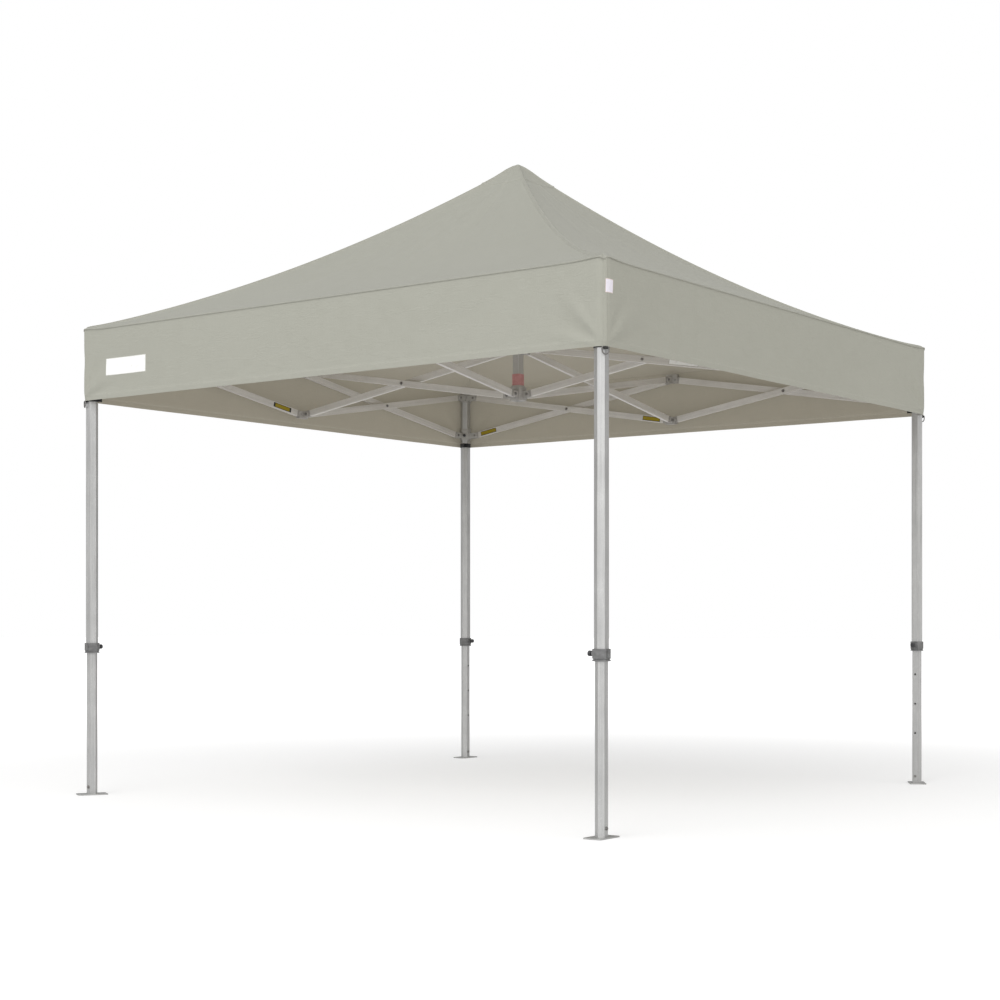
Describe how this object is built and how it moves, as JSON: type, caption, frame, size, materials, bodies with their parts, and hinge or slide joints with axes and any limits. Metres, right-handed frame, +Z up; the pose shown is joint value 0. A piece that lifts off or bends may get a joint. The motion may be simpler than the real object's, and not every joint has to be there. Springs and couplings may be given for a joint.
{
  "type": "folding canopy tent",
  "caption": "Square folding canopy tent: scissor truss on telescopic hexagonal legs, with a central mast under a four-sided hollow roof with valances.",
  "frame": {"origin": "on the floor under the mast", "axes": "+Z up the mast, +X to the east side and +Y to the north side, square to the valances"},
  "size_m": [3.0768, 3.0548, 3.0781],
  "materials": {
    "bar_aluminium": "mill",
    "leg_aluminium": "satin anodised",
    "bracket_grey": "cast, satin",
    "moulding_grey": "matte",
    "pin_dark": "satin",
    "sleeve_red": "matte",
    "canopy_cloth": "coated polyester"
  },
  "bodies": {
    "top_hub": {"top_hub": "bracket_grey"},
    "lower_hub": {"lower_hub": "bracket_grey", "mast": "leg_aluminium", "mast_sleeve": "sleeve_red"},
    "radial_bar_falling_east": {"radial_bar_falling_east": "bar_aluminium"},
    "radial_bar_rising_east": {"radial_bar_rising_east": "bar_aluminium"},
    "eave_bracket_east": {"eave_bracket_east": "bracket_grey"},
    "lower_bracket_east": {"lower_bracket_east": "bracket_grey"},
    "canopy_panel_east": {"canopy_panel_east": "canopy_cloth"},
    "side_bar_falling_east_to_north_east": {"side_bar_falling_east_to_north_east": "bar_aluminium"},
    "side_bar_rising_east_to_north_east": {"side_bar_rising_east_to_north_east": "bar_aluminium"},
    "side_bar_falling_east_to_south_east": {"side_bar_falling_east_to_south_east": "bar_aluminium"},
    "side_bar_rising_east_to_south_east": {"side_bar_rising_east_to_south_east": "bar_aluminium"},
    "radial_bar_falling_north": {"radial_bar_falling_north": "bar_aluminium"},
    "radial_bar_rising_north": {"radial_bar_rising_north": "bar_aluminium"},
    "eave_bracket_north": {"eave_bracket_north": "bracket_grey"},
    "lower_bracket_north": {"lower_bracket_north": "bracket_grey"},
    "canopy_panel_north": {"canopy_panel_north": "canopy_cloth"},
    "side_bar_falling_north_to_north_west": {"side_bar_falling_north_to_north_west": "bar_aluminium"},
    "side_bar_rising_north_to_north_west": {"side_bar_rising_north_to_north_west": "bar_aluminium"},
    "side_bar_falling_north_to_north_east": {"side_bar_falling_north_to_north_east": "bar_aluminium"},
    "side_bar_rising_north_to_north_east": {"side_bar_rising_north_to_north_east": "bar_aluminium"},
    "radial_bar_falling_west": {"radial_bar_falling_west": "bar_aluminium"},
    "radial_bar_rising_west": {"radial_bar_rising_west": "bar_aluminium"},
    "eave_bracket_west": {"eave_bracket_west": "bracket_grey"},
    "lower_bracket_west": {"lower_bracket_west": "bracket_grey"},
    "canopy_panel_west": {"canopy_panel_west": "canopy_cloth"},
    "side_bar_falling_west_to_south_west": {"side_bar_falling_west_to_south_west": "bar_aluminium"},
    "side_bar_rising_west_to_south_west": {"side_bar_rising_west_to_south_west": "bar_aluminium"},
    "side_bar_falling_west_to_north_west": {"side_bar_falling_west_to_north_west": "bar_aluminium"},
    "side_bar_rising_west_to_north_west": {"side_bar_rising_west_to_north_west": "bar_aluminium"},
    "radial_bar_falling_south": {"radial_bar_falling_south": "bar_aluminium"},
    "radial_bar_rising_south": {"radial_bar_rising_south": "bar_aluminium"},
    "eave_bracket_south": {"eave_bracket_south": "bracket_grey"},
    "lower_bracket_south": {"lower_bracket_south": "bracket_grey"},
    "canopy_panel_south": {"canopy_panel_south": "canopy_cloth"},
    "side_bar_falling_south_to_south_east": {"side_bar_falling_south_to_south_east": "bar_aluminium"},
    "side_bar_rising_south_to_south_east": {"side_bar_rising_south_to_south_east": "bar_aluminium"},
    "side_bar_falling_south_to_south_west": {"side_bar_falling_south_to_south_west": "bar_aluminium"},
    "side_bar_rising_south_to_south_west": {"side_bar_rising_south_to_south_west": "bar_aluminium"},
    "outer_leg_north_east": {"outer_leg_north_east": "leg_aluminium"},
    "slider_north_east": {"slider_north_east": "moulding_grey"},
    "slider_latch_north_east": {"slider_latch_north_east": "pin_dark"},
    "lock_pin_north_east": {"lock_pin_north_east": "pin_dark"},
    "inner_leg_north_east": {"inner_leg_north_east": "leg_aluminium"},
    "outer_leg_north_west": {"outer_leg_north_west": "leg_aluminium"},
    "slider_north_west": {"slider_north_west": "moulding_grey"},
    "slider_latch_north_west": {"slider_latch_north_west": "pin_dark"},
    "lock_pin_north_west": {"lock_pin_north_west": "pin_dark"},
    "inner_leg_north_west": {"inner_leg_north_west": "leg_aluminium"},
    "outer_leg_south_west": {"outer_leg_south_west": "leg_aluminium"},
    "slider_south_west": {"slider_south_west": "moulding_grey"},
    "slider_latch_south_west": {"slider_latch_south_west": "pin_dark"},
    "lock_pin_south_west": {"lock_pin_south_west": "pin_dark"},
    "inner_leg_south_west": {"inner_leg_south_west": "leg_aluminium"},
    "outer_leg_south_east": {"outer_leg_south_east": "leg_aluminium"},
    "slider_south_east": {"slider_south_east": "moulding_grey"},
    "slider_latch_south_east": {"slider_latch_south_east": "pin_dark"},
    "lock_pin_south_east": {"lock_pin_south_east": "pin_dark"},
    "inner_leg_south_east": {"inner_leg_south_east": "leg_aluminium"}
  },
  "joints": [
    {"name": "fold", "type": "hinge", "parent": "top_hub", "child": "radial_bar_falling_east", "pos_m": [0.054, -0.0095, 2.175], "axis": [0, 1, 0], "range_deg": [0, 78.15]},
    {"name": "scissor_radial_east", "type": "hinge", "parent": "radial_bar_falling_east", "child": "radial_bar_rising_east", "pos_m": [0.736, 0, 2.0625], "axis": [0, -1, 0], "range_deg": [0, 156.3]},
    {"name": "lower_bracket_pivot_east", "type": "hinge", "parent": "radial_bar_falling_east", "child": "lower_bracket_east", "pos_m": [1.418, -0.0095, 1.95], "axis": [0, -1, 0], "range_deg": [0, 78.15]},
    {"name": "eave_bracket_pivot_east", "type": "hinge", "parent": "radial_bar_rising_east", "child": "eave_bracket_east", "pos_m": [1.418, 0.0095, 2.175], "axis": [0, 1, 0], "range_deg": [0, 78.15]},
    {"name": "lower_hub_pivot", "type": "hinge", "parent": "radial_bar_rising_east", "child": "lower_hub", "pos_m": [0.054, 0.0095, 1.95], "axis": [0, 1, 0], "range_deg": [0, 78.15]},
    {"name": "falling_pivot_east_to_north_east", "type": "hinge", "parent": "eave_bracket_east", "child": "side_bar_falling_east_to_north_east", "pos_m": [1.4695, 0.022, 2.175], "axis": [-1, 0, 0], "range_deg": [0, 78.15]},
    {"name": "rising_pivot_east_to_north_east", "type": "hinge", "parent": "lower_bracket_east", "child": "side_bar_rising_east_to_north_east", "pos_m": [1.4505, 0.022, 1.95], "axis": [1, 0, 0], "range_deg": [0, 78.15]},
    {"name": "falling_pivot_east_to_south_east", "type": "hinge", "parent": "eave_bracket_east", "child": "side_bar_falling_east_to_south_east", "pos_m": [1.4695, -0.022, 2.175], "axis": [1, 0, 0], "range_deg": [0, 78.15]},
    {"name": "rising_pivot_east_to_south_east", "type": "hinge", "parent": "lower_bracket_east", "child": "side_bar_rising_east_to_south_east", "pos_m": [1.4505, -0.022, 1.95], "axis": [-1, 0, 0], "range_deg": [0, 78.15]},
    {"name": "canopy_turn_east", "type": "hinge", "parent": "eave_bracket_east", "child": "canopy_panel_east", "pos_m": [1.5, 0, 2.215], "axis": [0, -1, 0], "range_deg": [0, 120], "deforming": ["canopy_panel_east"]},
    {"name": "fold_north", "type": "hinge", "parent": "top_hub", "child": "radial_bar_falling_north", "pos_m": [0.0095, 0.054, 2.175], "axis": [-1, 0, 0], "range_deg": [0, 78.15]},
    {"name": "scissor_radial_north", "type": "hinge", "parent": "radial_bar_falling_north", "child": "radial_bar_rising_north", "pos_m": [0, 0.736, 2.0625], "axis": [1, 0, 0], "range_deg": [0, 156.3]},
    {"name": "lower_bracket_pivot_north", "type": "hinge", "parent": "radial_bar_falling_north", "child": "lower_bracket_north", "pos_m": [0.0095, 1.418, 1.95], "axis": [1, 0, 0], "range_deg": [0, 78.15]},
    {"name": "eave_bracket_pivot_north", "type": "hinge", "parent": "radial_bar_rising_north", "child": "eave_bracket_north", "pos_m": [-0.0095, 1.418, 2.175], "axis": [-1, 0, 0], "range_deg": [0, 78.15]},
    {"name": "falling_pivot_north_to_north_west", "type": "hinge", "parent": "eave_bracket_north", "child": "side_bar_falling_north_to_north_west", "pos_m": [-0.022, 1.4695, 2.175], "axis": [0, -1, 0], "range_deg": [0, 78.15]},
    {"name": "rising_pivot_north_to_north_west", "type": "hinge", "parent": "lower_bracket_north", "child": "side_bar_rising_north_to_north_west", "pos_m": [-0.022, 1.4505, 1.95], "axis": [0, 1, 0], "range_deg": [0, 78.15]},
    {"name": "falling_pivot_north_to_north_east", "type": "hinge", "parent": "eave_bracket_north", "child": "side_bar_falling_north_to_north_east", "pos_m": [0.022, 1.4695, 2.175], "axis": [0, 1, 0], "range_deg": [0, 78.15]},
    {"name": "rising_pivot_north_to_north_east", "type": "hinge", "parent": "lower_bracket_north", "child": "side_bar_rising_north_to_north_east", "pos_m": [0.022, 1.4505, 1.95], "axis": [0, -1, 0], "range_deg": [0, 78.15]},
    {"name": "canopy_turn_north", "type": "hinge", "parent": "eave_bracket_north", "child": "canopy_panel_north", "pos_m": [0, 1.5, 2.215], "axis": [1, 0, 0], "range_deg": [0, 120], "deforming": ["canopy_panel_north"]},
    {"name": "fold_west", "type": "hinge", "parent": "top_hub", "child": "radial_bar_falling_west", "pos_m": [-0.054, 0.0095, 2.175], "axis": [0, -1, 0], "range_deg": [0, 78.15]},
    {"name": "scissor_radial_west", "type": "hinge", "parent": "radial_bar_falling_west", "child": "radial_bar_rising_west", "pos_m": [-0.736, 0, 2.0625], "axis": [0, 1, 0], "range_deg": [0, 156.3]},
    {"name": "lower_bracket_pivot_west", "type": "hinge", "parent": "radial_bar_falling_west", "child": "lower_bracket_west", "pos_m": [-1.418, 0.0095, 1.95], "axis": [0, 1, 0], "range_deg": [0, 78.15]},
    {"name": "eave_bracket_pivot_west", "type": "hinge", "parent": "radial_bar_rising_west", "child": "eave_bracket_west", "pos_m": [-1.418, -0.0095, 2.175], "axis": [0, -1, 0], "range_deg": [0, 78.15]},
    {"name": "falling_pivot_west_to_south_west", "type": "hinge", "parent": "eave_bracket_west", "child": "side_bar_falling_west_to_south_west", "pos_m": [-1.4695, -0.022, 2.175], "axis": [1, 0, 0], "range_deg": [0, 78.15]},
    {"name": "rising_pivot_west_to_south_west", "type": "hinge", "parent": "lower_bracket_west", "child": "side_bar_rising_west_to_south_west", "pos_m": [-1.4505, -0.022, 1.95], "axis": [-1, 0, 0], "range_deg": [0, 78.15]},
    {"name": "falling_pivot_west_to_north_west", "type": "hinge", "parent": "eave_bracket_west", "child": "side_bar_falling_west_to_north_west", "pos_m": [-1.4695, 0.022, 2.175], "axis": [-1, 0, 0], "range_deg": [0, 78.15]},
    {"name": "rising_pivot_west_to_north_west", "type": "hinge", "parent": "lower_bracket_west", "child": "side_bar_rising_west_to_north_west", "pos_m": [-1.4505, 0.022, 1.95], "axis": [1, 0, 0], "range_deg": [0, 78.15]},
    {"name": "canopy_turn_west", "type": "hinge", "parent": "eave_bracket_west", "child": "canopy_panel_west", "pos_m": [-1.5, 0, 2.215], "axis": [0, 1, 0], "range_deg": [0, 120], "deforming": ["canopy_panel_west"]},
    {"name": "fold_south", "type": "hinge", "parent": "top_hub", "child": "radial_bar_falling_south", "pos_m": [-0.0095, -0.054, 2.175], "axis": [1, 0, 0], "range_deg": [0, 78.15]},
    {"name": "scissor_radial_south", "type": "hinge", "parent": "radial_bar_falling_south", "child": "radial_bar_rising_south", "pos_m": [0, -0.736, 2.0625], "axis": [-1, 0, 0], "range_deg": [0, 156.3]},
    {"name": "lower_bracket_pivot_south", "type": "hinge", "parent": "radial_bar_falling_south", "child": "lower_bracket_south", "pos_m": [-0.0095, -1.418, 1.95], "axis": [-1, 0, 0], "range_deg": [0, 78.15]},
    {"name": "eave_bracket_pivot_south", "type": "hinge", "parent": "radial_bar_rising_south", "child": "eave_bracket_south", "pos_m": [0.0095, -1.418, 2.175], "axis": [1, 0, 0], "range_deg": [0, 78.15]},
    {"name": "falling_pivot_south_to_south_east", "type": "hinge", "parent": "eave_bracket_south", "child": "side_bar_falling_south_to_south_east", "pos_m": [0.022, -1.4695, 2.175], "axis": [0, 1, 0], "range_deg": [0, 78.15]},
    {"name": "rising_pivot_south_to_south_east", "type": "hinge", "parent": "lower_bracket_south", "child": "side_bar_rising_south_to_south_east", "pos_m": [0.022, -1.4505, 1.95], "axis": [0, -1, 0], "range_deg": [0, 78.15]},
    {"name": "falling_pivot_south_to_south_west", "type": "hinge", "parent": "eave_bracket_south", "child": "side_bar_falling_south_to_south_west", "pos_m": [-0.022, -1.4695, 2.175], "axis": [0, -1, 0], "range_deg": [0, 78.15]},
    {"name": "rising_pivot_south_to_south_west", "type": "hinge", "parent": "lower_bracket_south", "child": "side_bar_rising_south_to_south_west", "pos_m": [-0.022, -1.4505, 1.95], "axis": [0, 1, 0], "range_deg": [0, 78.15]},
    {"name": "canopy_turn_south", "type": "hinge", "parent": "eave_bracket_south", "child": "canopy_panel_south", "pos_m": [0, -1.5, 2.215], "axis": [-1, 0, 0], "range_deg": [0, 120], "deforming": ["canopy_panel_south"]},
    {"name": "leg_pivot_north_east", "type": "hinge", "parent": "side_bar_rising_east_to_north_east", "child": "outer_leg_north_east", "pos_m": [1.4505, 1.386, 2.175], "axis": [-1, 0, 0], "range_deg": [0, 78.15]},
    {"name": "slider_pivot_north_east", "type": "hinge", "parent": "side_bar_falling_east_to_north_east", "child": "slider_north_east", "pos_m": [1.4695, 1.386, 1.95], "axis": [1, 0, 0], "range_deg": [0, 78.15]},
    {"name": "leg_length_north_east", "type": "slide", "parent": "outer_leg_north_east", "child": "inner_leg_north_east", "axis": [0, 0, 1], "range_m": [0, 0.45]},
    {"name": "lock_pull_north_east", "type": "slide", "parent": "outer_leg_north_east", "child": "lock_pin_north_east", "axis": [0, -1, 0], "range_m": [0, 0.008], "stiffness_N_per_m": 800, "springref_m": -0.002},
    {"name": "latch_pull_north_east", "type": "slide", "parent": "slider_north_east", "child": "slider_latch_north_east", "axis": [-0.866, -0.5, 0], "range_m": [0, 0.008], "stiffness_N_per_m": 800, "springref_m": -0.002},
    {"name": "leg_pivot_north_west", "type": "hinge", "parent": "side_bar_rising_north_to_north_west", "child": "outer_leg_north_west", "pos_m": [-1.386, 1.4505, 2.175], "axis": [0, -1, 0], "range_deg": [0, 78.15]},
    {"name": "slider_pivot_north_west", "type": "hinge", "parent": "side_bar_falling_north_to_north_west", "child": "slider_north_west", "pos_m": [-1.386, 1.4695, 1.95], "axis": [0, 1, 0], "range_deg": [0, 78.15]},
    {"name": "leg_length_north_west", "type": "slide", "parent": "outer_leg_north_west", "child": "inner_leg_north_west", "axis": [0, 0, 1], "range_m": [0, 0.45]},
    {"name": "lock_pull_north_west", "type": "slide", "parent": "outer_leg_north_west", "child": "lock_pin_north_west", "axis": [1, 0, 0], "range_m": [0, 0.008], "stiffness_N_per_m": 800, "springref_m": -0.002},
    {"name": "latch_pull_north_west", "type": "slide", "parent": "slider_north_west", "child": "slider_latch_north_west", "axis": [0.5, -0.866, 0], "range_m": [0, 0.008], "stiffness_N_per_m": 800, "springref_m": -0.002},
    {"name": "leg_pivot_south_west", "type": "hinge", "parent": "side_bar_rising_west_to_south_west", "child": "outer_leg_south_west", "pos_m": [-1.4505, -1.386, 2.175], "axis": [1, 0, 0], "range_deg": [0, 78.15]},
    {"name": "slider_pivot_south_west", "type": "hinge", "parent": "side_bar_falling_west_to_south_west", "child": "slider_south_west", "pos_m": [-1.4695, -1.386, 1.95], "axis": [-1, 0, 0], "range_deg": [0, 78.15]},
    {"name": "leg_length_south_west", "type": "slide", "parent": "outer_leg_south_west", "child": "inner_leg_south_west", "axis": [0, 0, 1], "range_m": [0, 0.45]},
    {"name": "lock_pull_south_west", "type": "slide", "parent": "outer_leg_south_west", "child": "lock_pin_south_west", "axis": [0, 1, 0], "range_m": [0, 0.008], "stiffness_N_per_m": 800, "springref_m": -0.002},
    {"name": "latch_pull_south_west", "type": "slide", "parent": "slider_south_west", "child": "slider_latch_south_west", "axis": [0.866, 0.5, 0], "range_m": [0, 0.008], "stiffness_N_per_m": 800, "springref_m": -0.002},
    {"name": "leg_pivot_south_east", "type": "hinge", "parent": "side_bar_rising_south_to_south_east", "child": "outer_leg_south_east", "pos_m": [1.386, -1.4505, 2.175], "axis": [0, 1, 0], "range_deg": [0, 78.15]},
    {"name": "slider_pivot_south_east", "type": "hinge", "parent": "side_bar_falling_south_to_south_east", "child": "slider_south_east", "pos_m": [1.386, -1.4695, 1.95], "axis": [0, -1, 0], "range_deg": [0, 78.15]},
    {"name": "leg_length_south_east", "type": "slide", "parent": "outer_leg_south_east", "child": "inner_leg_south_east", "axis": [0, 0, 1], "range_m": [0, 0.45]},
    {"name": "lock_pull_south_east", "type": "slide", "parent": "outer_leg_south_east", "child": "lock_pin_south_east", "axis": [-1, 0, 0], "range_m": [0, 0.008], "stiffness_N_per_m": 800, "springref_m": -0.002},
    {"name": "latch_pull_south_east", "type": "slide", "parent": "slider_south_east", "child": "slider_latch_south_east", "axis": [-0.5, 0.866, 0], "range_m": [0, 0.008], "stiffness_N_per_m": 800, "springref_m": -0.002}
  ],
  "couplings": [
    {"joint": "scissor_radial_east", "follows": "fold", "ratio": 2},
    {"joint": "lower_bracket_pivot_east", "follows": "fold", "ratio": 1},
    {"joint": "eave_bracket_pivot_east", "follows": "fold", "ratio": 1},
    {"joint": "lower_hub_pivot", "follows": "fold", "ratio": 1},
    {"joint": "falling_pivot_east_to_north_east", "follows": "fold", "ratio": 1},
    {"joint": "rising_pivot_east_to_north_east", "follows": "fold", "ratio": 1},
    {"joint": "falling_pivot_east_to_south_east", "follows": "fold", "ratio": 1},
    {"joint": "rising_pivot_east_to_south_east", "follows": "fold", "ratio": 1},
    {"joint": "canopy_turn_east", "follows": "fold", "ratio": 1.5355},
    {"joint": "fold_north", "follows": "fold", "ratio": 1},
    {"joint": "scissor_radial_north", "follows": "fold", "ratio": 2},
    {"joint": "lower_bracket_pivot_north", "follows": "fold", "ratio": 1},
    {"joint": "eave_bracket_pivot_north", "follows": "fold", "ratio": 1},
    {"joint": "falling_pivot_north_to_north_west", "follows": "fold", "ratio": 1},
    {"joint": "rising_pivot_north_to_north_west", "follows": "fold", "ratio": 1},
    {"joint": "falling_pivot_north_to_north_east", "follows": "fold", "ratio": 1},
    {"joint": "rising_pivot_north_to_north_east", "follows": "fold", "ratio": 1},
    {"joint": "canopy_turn_north", "follows": "fold", "ratio": 1.5355},
    {"joint": "fold_west", "follows": "fold", "ratio": 1},
    {"joint": "scissor_radial_west", "follows": "fold", "ratio": 2},
    {"joint": "lower_bracket_pivot_west", "follows": "fold", "ratio": 1},
    {"joint": "eave_bracket_pivot_west", "follows": "fold", "ratio": 1},
    {"joint": "falling_pivot_west_to_south_west", "follows": "fold", "ratio": 1},
    {"joint": "rising_pivot_west_to_south_west", "follows": "fold", "ratio": 1},
    {"joint": "falling_pivot_west_to_north_west", "follows": "fold", "ratio": 1},
    {"joint": "rising_pivot_west_to_north_west", "follows": "fold", "ratio": 1},
    {"joint": "canopy_turn_west", "follows": "fold", "ratio": 1.5355},
    {"joint": "fold_south", "follows": "fold", "ratio": 1},
    {"joint": "scissor_radial_south", "follows": "fold", "ratio": 2},
    {"joint": "lower_bracket_pivot_south", "follows": "fold", "ratio": 1},
    {"joint": "eave_bracket_pivot_south", "follows": "fold", "ratio": 1},
    {"joint": "falling_pivot_south_to_south_east", "follows": "fold", "ratio": 1},
    {"joint": "rising_pivot_south_to_south_east", "follows": "fold", "ratio": 1},
    {"joint": "falling_pivot_south_to_south_west", "follows": "fold", "ratio": 1},
    {"joint": "rising_pivot_south_to_south_west", "follows": "fold", "ratio": 1},
    {"joint": "canopy_turn_south", "follows": "fold", "ratio": 1.5355},
    {"joint": "leg_pivot_north_east", "follows": "fold", "ratio": 1},
    {"joint": "slider_pivot_north_east", "follows": "fold", "ratio": 1},
    {"joint": "leg_pivot_north_west", "follows": "fold", "ratio": 1},
    {"joint": "slider_pivot_north_west", "follows": "fold", "ratio": 1},
    {"joint": "leg_pivot_south_west", "follows": "fold", "ratio": 1},
    {"joint": "slider_pivot_south_west", "follows": "fold", "ratio": 1},
    {"joint": "leg_pivot_south_east", "follows": "fold", "ratio": 1},
    {"joint": "slider_pivot_south_east", "follows": "fold", "ratio": 1}
  ]
}
